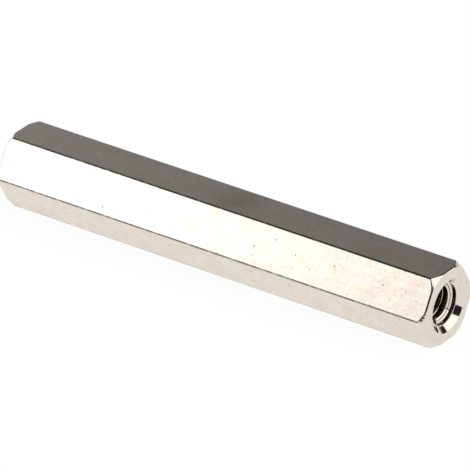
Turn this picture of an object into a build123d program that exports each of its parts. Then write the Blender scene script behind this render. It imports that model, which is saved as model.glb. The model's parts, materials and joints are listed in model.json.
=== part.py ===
from build123d import *
import math
import os

# Hexagonal spacer with a threaded hole in each end, in millimetres.
# The bar lies along X on one of its flats. The origin is the middle of that flat.

# Drawn hexagonal bar
length = 30.0
across_flats = 4.5
long_edge_radius = 0.1

# Ends, turned to a cone that takes off the corners of the hexagon
face_oversize = 0.04  # diameter of the flat end face, beyond the width across flats
chamfer_angle = 40.0  # of the cone, from the plane of the end face
end_edge_radius = 0.1  # where the flats, the cone and the end face meet

# Hole in each end, drilled for a thread of 2.5 mm and 0.45 mm pitch
bore_diameter = 2.05
bore_depth = 9.0  # of the full diameter, from the end face
drill_point_angle = 118.0
countersink_diameter = 3.27
countersink_angle = 90.0

# Worked out from the sizes above
half_length = length / 2
across_corners = across_flats / math.cos(math.radians(30))
face_radius = (across_flats + face_oversize) / 2
envelope_radius = across_corners / 2 + long_edge_radius
cone_run = (envelope_radius - face_radius) * math.tan(math.radians(chamfer_angle))
bore_radius = bore_diameter / 2
mouth_radius = countersink_diameter / 2
mouth_depth = (mouth_radius - bore_radius) / math.tan(math.radians(countersink_angle / 2))
point_depth = bore_radius / math.tan(math.radians(drill_point_angle / 2))


def hexagonal_bar():
    """The bar as drawn, with its six long edges slightly rounded."""
    with BuildPart() as bar:
        with BuildSketch(Plane.YZ.offset(-half_length)) as section:
            RegularPolygon(radius=across_flats / 2, side_count=6, major_radius=False)
            fillet(section.vertices(), radius=long_edge_radius)
        extrude(amount=length)
    return bar.part


def turned_envelope():
    """The round form that the ends are turned to, clear of the bar between them."""
    with BuildPart() as envelope:
        with BuildSketch(Plane.XZ):
            with BuildLine():
                Polyline(
                    (-half_length, 0),
                    (-half_length, face_radius),
                    (-half_length + cone_run, envelope_radius),
                    (half_length - cone_run, envelope_radius),
                    (half_length, face_radius),
                    (half_length, 0),
                    close=True,
                )
            make_face()
        revolve(axis=Axis.X)
    return envelope.part


def turned_blank():
    """The bar with both ends turned and their edges rounded, before the holes."""
    blank = hexagonal_bar() & turned_envelope()
    end_edges = blank.edges().filter_by(Axis.X, reverse=True)
    return fillet(end_edges, radius=end_edge_radius)


def drilled_hole():
    """The hole in the +X end: countersunk mouth, straight bore and the drill's point."""
    with BuildPart() as hole:
        with BuildSketch(Plane.XZ):
            with BuildLine():
                Polyline(
                    (half_length, 0),
                    (half_length, mouth_radius),
                    (half_length - mouth_depth, bore_radius),
                    (half_length - bore_depth, bore_radius),
                    (half_length - bore_depth - point_depth, 0),
                    close=True,
                )
            make_face()
        revolve(axis=Axis.X)
    return hole.part


hole = drilled_hole()
spacer = turned_blank() - hole - mirror(hole, about=Plane.YZ)
spacer = Pos(0, 0, across_flats / 2) * spacer

os.makedirs("parts", exist_ok=True)
export_step(spacer, "parts/spacer.step")
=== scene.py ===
import json
import math
import bpy
import bmesh
from mathutils import Matrix, Vector


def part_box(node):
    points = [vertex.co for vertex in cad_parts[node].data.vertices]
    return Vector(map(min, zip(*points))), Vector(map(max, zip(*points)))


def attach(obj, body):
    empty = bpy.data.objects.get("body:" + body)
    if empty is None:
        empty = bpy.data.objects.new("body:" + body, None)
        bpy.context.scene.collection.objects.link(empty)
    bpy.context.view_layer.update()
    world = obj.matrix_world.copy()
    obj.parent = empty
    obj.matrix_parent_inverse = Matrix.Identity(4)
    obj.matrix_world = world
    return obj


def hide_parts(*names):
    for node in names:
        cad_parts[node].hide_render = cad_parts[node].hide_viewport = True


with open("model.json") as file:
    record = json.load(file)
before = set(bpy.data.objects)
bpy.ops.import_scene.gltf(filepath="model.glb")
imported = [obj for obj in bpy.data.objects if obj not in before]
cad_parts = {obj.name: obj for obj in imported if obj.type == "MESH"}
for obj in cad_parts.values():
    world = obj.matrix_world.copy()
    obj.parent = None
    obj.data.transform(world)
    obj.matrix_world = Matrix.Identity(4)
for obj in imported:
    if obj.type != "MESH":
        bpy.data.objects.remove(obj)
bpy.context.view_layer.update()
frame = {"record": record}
mm = 0.001

# What the solid says: the bar's length, its width across flats and its bores
low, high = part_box("spacer")
bores = {m["name"]: m["dims"] for m in frame["record"]["mounts"] if m["kind"] == "threaded_hole"}

barSizes = {                    # millimetres and degrees
    "length": (high.x - low.x) / mm,
    "acrossFlats": (high.z - low.z) / mm,
    "longEdgeRadius": 0.1,
    "endEdgeRadius": 0.12,
    "faceOversize": 0.04,       # diameter of the flat end face, beyond the width across flats
    "chamferAngle": 40.0,       # of the turned cone, from the plane of the end face
    "flatColumns": 24,          # columns across each flat
    "edgeColumns": 8,           # columns round each long edge
    "arcRings": 5,              # rings round each end edge
}

holeSizes = {
    "boreRadius": bores["thread_right"]["r_mm"],
    "boreDepth": 9.0,
    "drillPointAngle": 118.0,
    "mouthDiameter": 3.27,
    "mouthAngle": 90.0,
    "mouthEdgeRadius": 0.03,
    "reliefRadius": 1.27,       # plain start of the hole, just wider than the thread
    "reliefLedge": 0.05,        # flat shoulder between the countersink and the relief
    "reliefDepth": 0.57,        # from the end face
    "reliefSlope": 60.0,        # of the step at its bottom, from the axis
    "edgeRings": 3,             # rings round the mouth's rim and the shoulder's edge
}

threadSizes = {
    "diameter": 2.5,
    "pitch": 0.45,
    "flankAngle": 60.0,
    "depth": 7.57,              # the first groove opens on the far side of the near mouth
    "coreRadius": 0.95,         # of the cutter, inside the bore, so that only its ridges cut
    "edgeRadius": 0.04,         # of the thread's edges at the bore, rounded by the plating
    "shadeLineRadius": 1.147,        # painted shade: a thin dark line halfway up the thread's flanks, at this distance from the axis
    "shadeLineWidth": 0.055,
    "overcut": 0.002,
    "stepsPerTurn": 48,
}

halfLength = barSizes["length"] / 2
flatRadius = barSizes["acrossFlats"] / 2
faceRadius = flatRadius + barSizes["faceOversize"] / 2
axisHeight = (low.z + high.z) / 2 / mm


# Geometry, in millimetres about the bar's axis until the last step

def polar(radius, degrees):
    return radius * math.cos(math.radians(degrees)), radius * math.sin(math.radians(degrees))


def endProfile(barRadius):
    # Line from the flat to the end face for a column that lies barRadius from the axis.
    # Its corners are those of a ball of the edge radius rolled round the turned end.
    edge = barSizes["endEdgeRadius"]
    slope = math.radians(barSizes["chamferAngle"])
    top = barRadius - edge
    side = halfLength - edge
    reach = side * math.sin(slope) + (faceRadius - edge * math.tan(slope / 2)) * math.cos(slope)
    coneAtTop = (reach - top * math.cos(slope)) / math.sin(slope)
    coneAtSide = (reach - side * math.sin(slope)) / math.cos(slope)
    if coneAtTop >= side:
        centres = [(side, top), (side, top)]
    else:
        centres = [(coneAtTop, top), (side, coneAtSide)]
    points = []
    steps = barSizes["arcRings"]
    middle = 90 - barSizes["chamferAngle"]
    for (x, r), start, end in zip(centres, (90, middle), (middle, 0)):
        for step in range(steps + 1):
            dx, dr = polar(edge, start + (end - start) * step / steps)
            points.append((x + dx, r + dr))
    return points


def holeProfile():
    # Line from the mouth's rim down to the bottom of the bore
    rim = holeSizes["mouthDiameter"] / 2
    relief = holeSizes["reliefRadius"]
    bore = holeSizes["boreRadius"]
    steps = holeSizes["edgeRings"]
    points = []
    # The rim, rounded, and the countersink
    edge = holeSizes["mouthEdgeRadius"]
    turn = 90 - holeSizes["mouthAngle"] / 2
    inset = edge * math.tan(math.radians(turn) / 2)
    for step in range(steps + 1):
        dx, dr = polar(edge, -turn * step / steps)
        points.append((halfLength - edge + dx, rim + inset + dr))
    # The shoulder, with a smaller rounding, and the relief
    ledge = relief + holeSizes["reliefLedge"]
    ledgeX = halfLength - (rim - ledge) / math.tan(math.radians(holeSizes["mouthAngle"] / 2))
    points.append((ledgeX, ledge))
    edge = edge / 2
    for step in range(steps + 1):
        dx, dr = polar(edge, -90 * step / steps)
        points.append((ledgeX - edge + dx, relief + edge + dr))
    reliefEnd = halfLength - holeSizes["reliefDepth"]
    points.append((reliefEnd, relief))
    # The step down to the bore
    stepLength = (relief - bore) / math.tan(math.radians(holeSizes["reliefSlope"]))
    points.append((reliefEnd - stepLength, bore))
    points.append((halfLength - holeSizes["boreDepth"], bore))
    return points


def makeBar():
    bm = bmesh.new()
    barRadius = bm.verts.layers.float.new("barRadius")
    # Drawn outline: a hexagon with rounded corners, turned into the YZ plane
    corner = flatRadius / math.cos(math.radians(30))
    cut = barSizes["longEdgeRadius"] * math.tan(math.radians(30))
    bmesh.ops.create_circle(bm, cap_ends=True, segments=6, radius=corner)
    bmesh.ops.bevel(bm, geom=bm.verts[:], offset=cut, segments=barSizes["edgeColumns"],
                    profile=0.5, affect="VERTICES", material=-1)
    flats = [e for e in bm.edges if e.calc_length() > 2 * cut]
    bmesh.ops.subdivide_edges(bm, edges=flats, cuts=barSizes["flatColumns"] - 1)
    bmesh.ops.delete(bm, geom=bm.faces[:], context="FACES_ONLY")
    turn = Matrix(((0, 0, 1), (1, 0, 0), (0, 1, 0))) @ Matrix.Rotation(math.radians(30), 3, "Z")
    bmesh.ops.transform(bm, matrix=turn.to_4x4(), verts=bm.verts[:])
    for v in bm.verts:
        v[barRadius] = v.co.length
    ring = bm.edges[:]

    def nextRing(ring, place):
        # place gives x and the distance from the axis for a column of the bar
        made = bmesh.ops.extrude_edge_only(bm, edges=ring)["geom"]
        for v in made:
            if isinstance(v, bmesh.types.BMVert):
                x, r = place(v[barRadius])
                across = Vector((0, v.co.y, v.co.z)).normalized()
                v.co = Vector((x, 0, 0)) + across * r
        return [e for e in made if isinstance(e, bmesh.types.BMEdge)]

    # Outwards over the turned end, then down the hole
    for index in range(2 * (barSizes["arcRings"] + 1)):
        ring = nextRing(ring, lambda radius: endProfile(radius)[index])
    for point in holeProfile():
        ring = nextRing(ring, lambda radius: point)
    # The drill's point closes the bore: a last small ring is merged into its tip
    bore = holeSizes["boreRadius"]
    pointDepth = bore / math.tan(math.radians(holeSizes["drillPointAngle"] / 2))
    bottom = Vector((halfLength - holeSizes["boreDepth"] - pointDepth, 0, 0))
    ring = nextRing(ring, lambda radius: (bottom.x, 0.1 * bore))
    tip = list(dict.fromkeys(v for e in ring for v in e.verts))
    bmesh.ops.pointmerge(bm, verts=tip, merge_co=bottom)
    # The other end is the same
    bmesh.ops.mirror(bm, geom=bm.verts[:] + bm.edges[:] + bm.faces[:], matrix=Matrix(),
                     merge_dist=0.001, axis="X")
    doubleDistance = 0.00001
    bmesh.ops.remove_doubles(bm, verts=bm.verts[:], dist=doubleDistance)
    bmesh.ops.dissolve_degenerate(bm, edges=bm.edges[:], dist=doubleDistance)
    bmesh.ops.recalc_face_normals(bm, faces=bm.faces[:])
    return bm


def makeThreadCutter():
    # A closed screw, right-handed along +X, with ridges as wide as the thread's grooves
    radius = threadSizes["diameter"] / 2
    pitch = threadSizes["pitch"]
    core = threadSizes["coreRadius"]
    edge = threadSizes["edgeRadius"]
    overcut = threadSizes["overcut"]
    bore = holeSizes["boreRadius"]
    crest = pitch / 16          # half the width of a ridge's flat top
    lean = threadSizes["flankAngle"] / 2
    # Each ridge ends in a flare, which rounds the edges that it leaves at the bore
    flareX = (crest + (radius - bore) * math.tan(math.radians(lean))
              + edge * math.tan(math.radians(45 - lean / 2)))
    flareRadius = bore + edge - overcut
    half = [(crest, radius)]
    for angle in (90 - lean, 45, 30, 15, 0):
        dr, dx = polar(edge, angle)
        half.append((flareX - dx, flareRadius - dr))
    half += [(flareX + overcut, core), (pitch / 2, core)]
    profile = [(-x, r) for x, r in reversed(half)] + half
    bm = bmesh.new()
    verts = [bm.verts.new((x, 0, r)) for x, r in profile]
    edges = [bm.edges.new(pair) for pair in zip(verts, verts[1:])]
    turns = round(threadSizes["depth"] / pitch) + 1
    steps = threadSizes["stepsPerTurn"]
    bmesh.ops.spin(bm, geom=verts + edges, cent=(0, 0, 0), axis=(1, 0, 0),
                   dvec=(pitch / steps, 0, 0), angle=math.radians(360 * turns),
                   steps=steps * turns)
    bmesh.ops.remove_doubles(bm, verts=bm.verts[:], dist=0.0001)
    # Each open end runs in to a point on the axis
    length = pitch * turns
    for x, before in ((0, True), (length, False)):
        rim = [e for e in bm.edges if e.is_boundary
               and (e.verts[0].co.x < length / 2) == before]
        made = bmesh.ops.extrude_edge_only(bm, edges=rim)["geom"]
        tips = [v for v in made if isinstance(v, bmesh.types.BMVert)]
        bmesh.ops.pointmerge(bm, verts=tips, merge_co=(x, 0, 0))
    bmesh.ops.recalc_face_normals(bm, faces=bm.faces[:])
    return bm


def meshObject(name, bm):
    mesh = bpy.data.meshes.new(name)
    bm.to_mesh(mesh)
    bm.free()
    made = bpy.data.objects.new(name, mesh)
    bpy.context.scene.collection.objects.link(made)
    return made


def cutThreads(bar):
    start = halfLength - threadSizes["depth"]
    cutters = []
    for name, turned in (("right", 0), ("left", 180)):
        bm = makeThreadCutter()
        place = Matrix.Rotation(math.radians(turned), 4, "Z") @ Matrix.Translation((start, 0, 0))
        bmesh.ops.transform(bm, matrix=place, verts=bm.verts[:])
        cutter = meshObject("cutter_" + name, bm)
        cutters.append(cutter)
        cut = bar.modifiers.new("thread_" + name, "BOOLEAN")
        cut.operation = "DIFFERENCE"
        cut.solver = "EXACT"
        cut.object = cutter
    seen = bar.evaluated_get(bpy.context.evaluated_depsgraph_get())
    cutMesh = bpy.data.meshes.new_from_object(seen)
    bar.modifiers.clear()
    bar.data = cutMesh
    for cutter in cutters:
        bpy.data.objects.remove(cutter)


def finishBar(bar):
    # Gives each face its finish, and keeps the flats and end faces flat up to their edges.
    # Brings the mesh to metres, and to its place above the origin.
    drawn, turned, tapped = range(3)        # the finishes, in the order of surfaceLooks
    doubleDistance = 0.0002
    aligned = 0.99999                       # cosine from which a face lies in a flat
    upright = 0.01                          # slope along the bar that a drawn face stays under
    nearEnd = 0.01                          # every face this near an end is turned
    justInside = 0.001                      # the hole's finish starts this far in
    crease = math.radians(32)               # sharper edges stay sharp
    bm = bmesh.new()
    bm.from_mesh(bar.data)
    bmesh.ops.remove_doubles(bm, verts=bm.verts[:], dist=doubleDistance)
    bmesh.ops.dissolve_degenerate(bm, edges=bm.edges[:], dist=doubleDistance)
    flatNormals = [Vector((0, *polar(1, 30 + 60 * side))) for side in range(6)]
    flatNormals += [Vector((1, 0, 0)), Vector((-1, 0, 0))]
    bm.normal_update()
    for face in bm.faces:
        face.smooth = True
        onFlat = any(face.normal.dot(n) > aligned for n in flatNormals)
        centre = face.calc_center_median()
        inside = math.hypot(centre.y, centre.z) < holeSizes["mouthDiameter"] / 2
        if inside and abs(centre.x) < halfLength - justInside:
            face.material_index = tapped
        elif abs(centre.x) > halfLength - nearEnd:
            face.material_index = turned
        else:
            face.material_index = drawn if onFlat or abs(face.normal.x) < upright else turned
        face.tag = onFlat and not inside
    for edge in bm.edges:
        if len(edge.link_faces) == 2:
            a, b = edge.link_faces
            edge.smooth = a.tag == b.tag and edge.calc_face_angle(0) < crease
    bmesh.ops.scale(bm, vec=(mm, mm, mm), verts=bm.verts[:])
    bmesh.ops.translate(bm, vec=(0, 0, axisHeight * mm), verts=bm.verts[:])
    bm.to_mesh(bar.data)
    bm.free()


spacerBody = meshObject("spacerBody", makeBar())
print("bar made:", len(spacerBody.data.polygons), "faces")
cutThreads(spacerBody)
finishBar(spacerBody)
print("threads cut:", len(spacerBody.data.polygons), "faces")


# Materials

def hexColour(code):
    channels = [int(code[i:i + 2], 16) / 255 for i in (1, 3, 5)]
    linear = [c / 12.92 if c <= 0.04045 else ((c + 0.055) / 1.055) ** 2.4 for c in channels]
    return (*linear, 1.0)


def addNode(tree, kind, inputs=None, **settings):
    node = tree.nodes.new(kind)
    for name, value in settings.items():
        setattr(node, name, value)
    for socket, value in (inputs or {}).items():
        if isinstance(value, bpy.types.NodeSocket):
            tree.links.new(value, node.inputs[socket])
        else:
            node.inputs[socket].default_value = value
    return node


def newMaterial(name):
    material = bpy.data.materials.new(name)
    material.use_nodes = True
    tree = material.node_tree
    tree.nodes.clear()
    return material, tree


nickelColours = {
    "plating": "#E6E0D7",       # bright, faintly warm grey
    "turnedPlating": "#DED8D0",
    "brassy": "#E6D8BE",        # clouds where the brass below warms the thin plating
    "rosy": "#E3CFC4",
    "dim": "#D3C9BF",
    "speck": "#B5A595",
    "darkPatch": "#AC9F90",         # a darker, mottled patch on the upper flat
    "edgeDarkening": "#867B70",          # darker along the long edges, in patches
    "paintedHoleShade": "#74685C",         # painted shade, deep in the holes
    "pit": "#84786B",           # polishing dirt left in the pits
    "dirt": "#3A2E26",
}

# Where each tint lies over the plating: the levels of its noise at which it starts and is
# strongest, and its greatest share
tintLevels = {
    "brassy": (0.46, 0.66, 0.6),
    "rosy": (0.46, 0.66, 0.6),
    "dim": (0.42, 0.7, 0.4),
    "speck": (0.56, 0.76, 0.5),
}

nickelNoises = {                # width of a feature in millimetres, detail and roughness
    "clouds": (1.25, 6.0, 0.7),
    "grain": (0.1818, 2.0, 0.6),
    "nicks": (0.3846, 3.0, 0.7),
}

# Spots that the photograph shows, in millimetres: place along the bar, place across the flat
# above the front edge, from its middle line, and radius
pits = [
    (-7.4, 0.84, 0.04), (-4.4, 0.22, 0.03), (-1.9, -0.43, 0.02), (-1.26, -0.92, 0.02),
    (3.08, 0.16, 0.04), (3.12, 0.69, 0.03), (4.35, -0.57, 0.04), (5.83, -0.1, 0.03),
    (8.48, -0.22, 0.04), (6.97, 0.39, 0.03), (11.84, -0.09, 0.04), (-3.99, -1.24, 0.03),
    (12.96, -1.22, 0.04), (13.71, -1.22, 0.04), (-0.52, 1.24, 0.03), (0.84, 1.23, 0.03),
    (11.38, 1.23, 0.03),
]
cornerDirt = [(14.94, 0.74, 0.08), (14.88, 0.95, 0.12), (14.81, 1.12, 0.13)]

spotShape = {                   # millimetres, and shares of a spot's radius
    "flat": 150,                # degrees from +Y round the axis to the flat with the spots
    "core": 0.5,                # a spot is full up to here
    "rim": 1.3,                 # and gone from here
    "depth": 0.004,
    "dulling": 0.35,            # roughness that a spot adds
    "raggedWidth": 0.0625,      # of the noise that makes the rims ragged
    "raggedReach": 0.08,        # and how far it moves them
    "straySpacing": 1.25,       # of the cells, each with room for a stray spot
    "strayLevel": 0.75,         # share of the cells that hold none
    "strayRadius": 0.045,       # of the largest
}

nickelMarks = {
    "lineDetail": 3.0,          # of the tool marks' noise
    "lineLevels": (0.35, 0.65),     # levels of it that are smoothest and dullest
    "longEdge": (2.555, 2.57),  # distances from the axis at which the edge darkening starts and is full
    "edgePatchLevels": (0.2, 0.5),    # levels of the nicks' noise that leave an edge bright and darken it fully
    "darkPatchPlace": (0.7, -0.1, 2.25),
    "darkPatchRadius": 2.0,
}

# Bright nickel, plated on brass: a mirror with a warm cast and soft clouds, whose base metal
# still shows how it was shaped. Spacings, heights and places are in millimetres.
surfaceLooks = {
    "nickelDrawnFlats": {       # drawn through a die: lines along the bar, coarser so they show
        "base": "plating",
        "lineStretch": (0.05, 1, 1),
        "lineSpacing": 0.1429,
        "lineHeight": 0.0004,
        "waveHeight": 0.006,
        "edgeNicks": 0.004,
        "roughness": (0.07, 0.16),
        "spots": pits,
        "spotColour": "pit",
    },
    "nickelTurnedEnds": {       # turned: fine rings round the axis, coarser so they show
        "base": "turnedPlating",
        "lineSpacing": 0.1111,
        "lineHeight": 0.0004,
        "waveHeight": 0.003,
        "edgeNicks": 0.004,
        "roughness": (0.10, 0.20),
        "spots": cornerDirt,
        "spotColour": "dirt",
    },
    "nickelThread": {           # cut by a tap: smoother, with painted shade further in
        "base": "turnedPlating",
        "lineSpacing": 0.1111,
        "lineHeight": 0.0001,
        "waveHeight": 0.001,
        "edgeNicks": 0.0,
        "roughness": (0.04, 0.09),
        "paintedShadeAlong": (13.2, 14.3),      # painted shade, from the bar's middle: darkest, and not yet dark
        # painted shade along the thin dark line halfway up the flanks
        "shadeLineDarkness": 0.95,
    },
}


def placeInMm(tree):
    # Millimetres from the bar's middle, on its axis, and the distance from the axis
    seen = addNode(tree, "ShaderNodeTexCoord").outputs["Object"]
    place = addNode(tree, "ShaderNodeMapping", {"Vector": seen, "Location": (0, 0, -axisHeight),
                                                "Scale": (1 / mm, 1 / mm, 1 / mm)}).outputs[0]
    across = addNode(tree, "ShaderNodeVectorMath", {0: place, 1: (0, 1, 1)},
                     operation="MULTIPLY").outputs[0]
    radius = addNode(tree, "ShaderNodeVectorMath", {0: across}, operation="LENGTH").outputs["Value"]
    return place, radius


def spotMask(tree, place, spots):
    # 1 in the spots, which have ragged rims, and in a few stray ones over all the surfaces
    reach = spotShape["raggedReach"]
    ragged = addNode(tree, "ShaderNodeTexNoise",
                     {"Vector": place, "Scale": 1 / spotShape["raggedWidth"]}).outputs["Color"]
    moved = addNode(tree, "ShaderNodeVectorMath", {0: ragged, 1: (reach, reach, reach), 2: place},
                    operation="MULTIPLY_ADD").outputs[0]
    cells = addNode(tree, "ShaderNodeTexVoronoi",
                    {"Vector": moved, "Scale": 1 / spotShape["straySpacing"]})
    chance = addNode(tree, "ShaderNodeSeparateColor", {0: cells.outputs["Color"]}).outputs[0]
    size = addNode(tree, "ShaderNodeMapRange",
                   {"Value": chance, "From Min": spotShape["strayLevel"], "From Max": 1.0,
                    "To Max": spotShape["strayRadius"]}).outputs[0]
    mask = addNode(tree, "ShaderNodeMath", {0: cells.outputs["Distance"], 1: size},
                   operation="LESS_THAN").outputs[0]
    y, z = polar(flatRadius, spotShape["flat"])
    shift = reach / 2           # how far the noise moves each place on average
    for along, across, radius in spots:
        dy, dz = polar(across, spotShape["flat"] + 90)
        centre = (along + shift, y + dy + shift, z + dz + shift)
        away = addNode(tree, "ShaderNodeVectorMath", {0: moved, 1: centre},
                       operation="DISTANCE").outputs["Value"]
        spot = addNode(tree, "ShaderNodeMapRange",
                       {"Value": away, "From Min": spotShape["core"] * radius,
                        "From Max": spotShape["rim"] * radius, "To Min": 1.0,
                        "To Max": 0.0}).outputs[0]
        mask = addNode(tree, "ShaderNodeMath", {0: mask, 1: spot}, operation="MAXIMUM").outputs[0]
    return mask


def platedNickel(name, look):
    material, tree = newMaterial(name)
    place, radius = placeInMm(tree)
    along = addNode(tree, "ShaderNodeSeparateXYZ", {0: place}).outputs["X"]
    noises = {}
    for kind, (width, detail, coarseness) in nickelNoises.items():
        noises[kind] = addNode(tree, "ShaderNodeTexNoise",
                               {"Vector": place, "Scale": 1 / width, "Detail": detail,
                                "Roughness": coarseness}).outputs
    clouds, nicks = noises["clouds"]["Fac"], noises["nicks"]["Fac"]

    # Tool marks: along the bar on what is drawn, and round the axis on what is turned
    if "lineStretch" in look:
        lines = addNode(tree, "ShaderNodeVectorMath", {0: place, 1: look["lineStretch"]},
                        operation="MULTIPLY").outputs[0]
    else:
        lines = addNode(tree, "ShaderNodeCombineXYZ", {"X": along, "Y": radius}).outputs[0]
    marks = addNode(tree, "ShaderNodeTexNoise",
                    {"Vector": lines, "Scale": 1 / look["lineSpacing"],
                     "Detail": nickelMarks["lineDetail"]}).outputs["Fac"]
    roughness = addNode(tree, "ShaderNodeMapRange",
                        {"Value": marks, "From Min": nickelMarks["lineLevels"][0],
                         "From Max": nickelMarks["lineLevels"][1],
                         "To Min": look["roughness"][0],
                         "To Max": look["roughness"][1]}).outputs[0]

    # Clouds and specks in the plating
    hues = addNode(tree, "ShaderNodeSeparateColor", {0: noises["clouds"]["Color"]}).outputs
    tints = {"brassy": clouds, "rosy": hues[1], "dim": hues[2], "speck": noises["grain"]["Fac"]}
    layers = []
    for tint, source in tints.items():
        start, strongest, share = tintLevels[tint]
        mask = addNode(tree, "ShaderNodeMapRange",
                       {"Value": source, "From Min": start, "From Max": strongest,
                        "To Max": share}).outputs[0]
        layers.append((mask, tint))

    # A darker, mottled patch on the upper flat
    away = addNode(tree, "ShaderNodeVectorMath", {0: place, 1: nickelMarks["darkPatchPlace"]},
                   operation="DISTANCE").outputs["Value"]
    near = addNode(tree, "ShaderNodeMapRange",
                   {"Value": away, "From Max": nickelMarks["darkPatchRadius"], "To Min": 1.0,
                    "To Max": 0.0}).outputs[0]
    darkPatch = addNode(tree, "ShaderNodeMath", {0: near, 1: clouds}, operation="MULTIPLY").outputs[0]
    layers.append((darkPatch, "darkPatch"))

    # Long edges, darker in patches and nicked
    edge = addNode(tree, "ShaderNodeMapRange",
                   {"Value": radius, "From Min": nickelMarks["longEdge"][0],
                    "From Max": nickelMarks["longEdge"][1]}).outputs[0]
    edgePatches = addNode(tree, "ShaderNodeMapRange",
                     {"Value": nicks, "From Min": nickelMarks["edgePatchLevels"][0],
                      "From Max": nickelMarks["edgePatchLevels"][1]}).outputs[0]
    edgeDarkening = addNode(tree, "ShaderNodeMath", {0: edge, 1: edgePatches}, operation="MULTIPLY").outputs[0]
    dent = addNode(tree, "ShaderNodeMath", {0: edge, 1: nicks}, operation="MULTIPLY").outputs[0]
    layers.append((edgeDarkening, "edgeDarkening"))
    reliefs = [(marks, look["lineHeight"]), (clouds, look["waveHeight"]),
               (dent, look["edgeNicks"])]

    # Holes: painted shade that darkens with depth, and a painted dark line halfway up the thread's
    # flanks
    if "paintedShadeAlong" in look:
        depth = addNode(tree, "ShaderNodeMath", {0: along}, operation="ABSOLUTE").outputs[0]
        deepShade = addNode(tree, "ShaderNodeMapRange",
                       {"Value": depth, "From Min": look["paintedShadeAlong"][0],
                        "From Max": look["paintedShadeAlong"][1], "To Min": 1.0,
                        "To Max": 0.0}).outputs[0]
        shadeLine = addNode(tree, "ShaderNodeMath", {0: radius, 1: threadSizes["shadeLineRadius"],
                                                2: threadSizes["shadeLineWidth"] / 2},
                       operation="COMPARE").outputs[0]
        paintedShade = addNode(tree, "ShaderNodeMath", {0: shadeLine, 1: look["shadeLineDarkness"], 2: deepShade},
                       operation="MULTIPLY_ADD", use_clamp=True).outputs[0]
        layers.append((paintedShade, "paintedHoleShade"))

    if "spots" in look:
        spots = spotMask(tree, place, look["spots"])
        layers.append((spots, look["spotColour"]))
        reliefs.append((spots, -spotShape["depth"]))
        roughness = addNode(tree, "ShaderNodeMath",
                            {0: spots, 1: spotShape["dulling"], 2: roughness},
                            operation="MULTIPLY_ADD").outputs[0]

    colour = hexColour(nickelColours[look["base"]])
    for mask, layer in layers:
        colour = addNode(tree, "ShaderNodeMix", {0: mask, 6: colour,
                                                 7: hexColour(nickelColours[layer])},
                         data_type="RGBA").outputs[2]
    height = 0.0
    for source, amount in reliefs:
        height = addNode(tree, "ShaderNodeMath", {0: source, 1: amount, 2: height},
                         operation="MULTIPLY_ADD").outputs[0]
    bump = addNode(tree, "ShaderNodeBump", {"Height": height, "Distance": mm}).outputs[0]
    shader = addNode(tree, "ShaderNodeBsdfPrincipled", {"Base Color": colour, "Metallic": 1.0,
                                                        "Roughness": roughness, "Normal": bump})
    addNode(tree, "ShaderNodeOutputMaterial", {"Surface": shader.outputs["BSDF"]})
    return material


for name, look in surfaceLooks.items():
    spacerBody.data.materials.append(platedNickel(name, look))
print("plated:", len(spacerBody.data.materials), "finishes")

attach(spacerBody, "root")
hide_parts("spacer")


# Stage

stageSizes = {
    "floorRadius": 0.9,         # metres
    "rimHeight": 0.06,          # the floor's edge curls up by this
    "paper": "#FBFBFB",
    "seenGlow": 0.93,           # how far it is lit from within, as the camera sees it
    "mirroredGlow": 0.88,       # and as the metal mirrors it
}


def makeFloor():
    bm = bmesh.new()
    radius = stageSizes["floorRadius"]
    rim = stageSizes["rimHeight"]
    points = [(0, 0), (radius - rim, 0)]
    points += [(radius - rim + rim * math.sin(a), rim - rim * math.cos(a))
               for a in (math.radians(15 * step) for step in range(1, 7))]
    verts = [bm.verts.new((x, 0, z)) for x, z in points]
    edges = [bm.edges.new(pair) for pair in zip(verts, verts[1:])]
    bmesh.ops.spin(bm, geom=verts + edges, cent=(0, 0, 0), axis=(0, 0, 1),
                   angle=math.radians(360), steps=64, use_merge=True)
    bmesh.ops.remove_doubles(bm, verts=bm.verts[:], dist=0.0001)
    bmesh.ops.recalc_face_normals(bm, faces=bm.faces[:])
    return meshObject("whiteTable", bm)


def whiteTable():
    # A white table lit from below: it looks white, and lights the object as paper does
    material, tree = newMaterial("whiteTable")
    rays = addNode(tree, "ShaderNodeLightPath")
    seen = addNode(tree, "ShaderNodeMath", {0: rays.outputs["Is Camera Ray"],
                                            1: stageSizes["seenGlow"]}, operation="MULTIPLY")
    mirrored = addNode(tree, "ShaderNodeMath", {0: rays.outputs["Is Glossy Ray"],
                                                1: rays.outputs["Is Transmission Ray"]},
                       operation="MAXIMUM")
    share = addNode(tree, "ShaderNodeMath", {0: mirrored.outputs[0],
                                             1: stageSizes["mirroredGlow"], 2: seen.outputs[0]},
                    operation="MULTIPLY_ADD")
    paper = addNode(tree, "ShaderNodeBsdfDiffuse", {"Color": hexColour(stageSizes["paper"])})
    glow = addNode(tree, "ShaderNodeEmission", {"Color": (1, 1, 1, 1), "Strength": 1.0})
    mixed = addNode(tree, "ShaderNodeMixShader",
                    {0: share.outputs[0], 1: paper.outputs[0], 2: glow.outputs[0]})
    addNode(tree, "ShaderNodeOutputMaterial", {"Surface": mixed.outputs[0]})
    return material


floor = makeFloor()
floor.data.materials.append(whiteTable())


def direction(azimuth, elevation):
    # Bearing from +Y towards +X, in degrees
    a, e = math.radians(azimuth), math.radians(elevation)
    return Vector((math.sin(a) * math.cos(e), math.cos(a) * math.cos(e), math.sin(e)))


softboxes = {                   # degrees and metres; a radiance of 1 is mirrored as white
    "softboxLeft": {"azimuth": 232, "elevation": 25, "distance": 0.5, "width": 0.45,
                    "height": 0.22, "radiance": 4.0, "rimLevel": 0.25},
    "softboxRight": {"azimuth": 66, "elevation": 36.5, "distance": 0.5, "width": 0.54,
                     "height": 0.6, "radiance": 1.5, "rimLevel": 0.9},
}

target = Vector((0, 0, axisHeight * mm))


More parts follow.
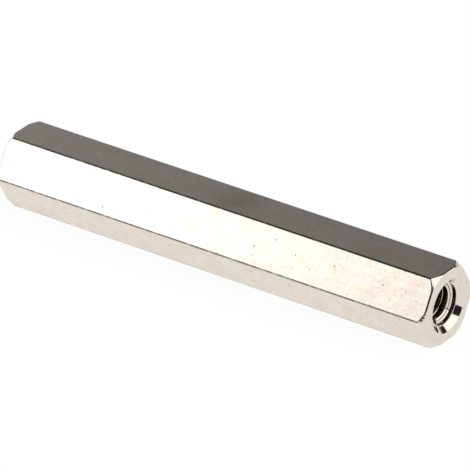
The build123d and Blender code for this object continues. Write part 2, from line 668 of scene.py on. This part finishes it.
def makeSoftbox(name, box):
    lamp = bpy.data.lights.new(name, "AREA")
    lamp.shape = "RECTANGLE"
    lamp.size, lamp.size_y = box["width"], box["height"]
    lamp.energy = box["radiance"] * math.pi * box["width"] * box["height"]
    # The cloth of a softbox is brightest in its middle
    lamp.use_nodes = True
    tree = lamp.node_tree
    tree.nodes.clear()
    place = addNode(tree, "ShaderNodeNewGeometry").outputs["Parametric"]
    away = addNode(tree, "ShaderNodeVectorMath", {0: place, 1: (0.5, 0.5, 0)},
                   operation="DISTANCE").outputs["Value"]
    level = addNode(tree, "ShaderNodeMapRange", {"Value": away, "From Max": 0.5, "To Min": 1.0,
                                                 "To Max": box["rimLevel"]},
                    interpolation_type="SMOOTHSTEP")
    glow = addNode(tree, "ShaderNodeEmission", {"Strength": level.outputs[0]})
    addNode(tree, "ShaderNodeOutputLight", {"Surface": glow.outputs[0]})
    made = bpy.data.objects.new(name, lamp)
    towards = direction(box["azimuth"], box["elevation"])
    made.location = target + towards * box["distance"]
    made.rotation_euler = towards.to_track_quat("Z", "Y").to_euler()
    bpy.context.scene.collection.objects.link(made)


for name, box in softboxes.items():
    makeSoftbox(name, box)

roomLight = {                   # the camera itself sees white behind the table
    "mirrored": 0.022,          # the dark room that the metal shows
    "onPaper": 0.85,            # light that falls on the table from all round
}

worldLobes = [                  # soft patches of the room that the metal shows
    {"azimuth": 290, "elevation": 25, "inner": 10, "outer": 46, "level": 0.35},
    {"azimuth": 350, "elevation": -5, "inner": 5, "outer": 36, "level": 0.75},
    {"azimuth": 165, "elevation": 60, "inner": 5, "outer": 40, "level": 0.10},
]


def makeWorld():
    world = bpy.data.worlds.new("studio")
    world.use_nodes = True
    tree = world.node_tree
    tree.nodes.clear()
    bearing = addNode(tree, "ShaderNodeTexCoord").outputs["Generated"]
    level = roomLight["mirrored"]
    for lobe in worldLobes:
        centre = direction(lobe["azimuth"], lobe["elevation"])
        near = addNode(tree, "ShaderNodeVectorMath", {0: bearing, 1: centre},
                       operation="DOT_PRODUCT").outputs["Value"]
        patch = addNode(tree, "ShaderNodeMapRange",
                        {"Value": near, "From Min": math.cos(math.radians(lobe["outer"])),
                         "From Max": math.cos(math.radians(lobe["inner"])),
                         "To Max": lobe["level"]}, interpolation_type="SMOOTHSTEP").outputs[0]
        level = addNode(tree, "ShaderNodeMath", {0: level, 1: patch}, operation="ADD").outputs[0]
    rays = addNode(tree, "ShaderNodeLightPath")
    lit = addNode(tree, "ShaderNodeMix", {0: rays.outputs["Is Diffuse Ray"], 2: level,
                                          3: roomLight["onPaper"]}, data_type="FLOAT").outputs[0]
    shown = addNode(tree, "ShaderNodeMix", {0: rays.outputs["Is Camera Ray"], 2: lit, 3: 1.0},
                    data_type="FLOAT").outputs[0]
    light = addNode(tree, "ShaderNodeBackground", {"Color": (1, 1, 1, 1), "Strength": shown})
    addNode(tree, "ShaderNodeOutputWorld", {"Surface": light.outputs[0]})
    bpy.context.scene.world = world


makeWorld()
print("studio set")


# Camera: a long lens, turned to the photograph's viewing angle

cameraSettings = {
    "azimuth": 35.26,           # degrees from -Y towards +X
    "elevation": 28.66,
    "distance": 0.36,           # metres
    "clipRange": (0.01, 3),
    "focalPixels": 6268,        # focal length, in the photograph's pixels
    "framePixels": 470,         # width of the photograph
    "sensorWidth": 36,          # millimetres
    "objectOffset": (-4.3, 2.6),    # pixels that the bar's middle lies right of and above centre
}


def placeCamera():
    camera = bpy.data.objects.new("camera", bpy.data.cameras.new("camera"))
    lens = camera.data
    lens.sensor_width = cameraSettings["sensorWidth"]
    lens.lens = (cameraSettings["focalPixels"] / cameraSettings["framePixels"]
                 * cameraSettings["sensorWidth"])
    lens.clip_start, lens.clip_end = cameraSettings["clipRange"]
    backwards = direction(180 - cameraSettings["azimuth"], cameraSettings["elevation"])
    facing = (-backwards).to_track_quat("-Z", "Y")
    right, up = facing @ Vector((1, 0, 0)), facing @ Vector((0, 1, 0))
    perPixel = cameraSettings["distance"] / cameraSettings["focalPixels"]
    rightwards, upwards = cameraSettings["objectOffset"]
    aim = target - right * rightwards * perPixel - up * upwards * perPixel
    camera.location = aim + backwards * cameraSettings["distance"]
    camera.rotation_euler = facing.to_euler()
    bpy.context.scene.collection.objects.link(camera)
    bpy.context.scene.camera = camera


placeCamera()
bpy.context.scene.view_settings.view_transform = "Standard"

print("scene ready")
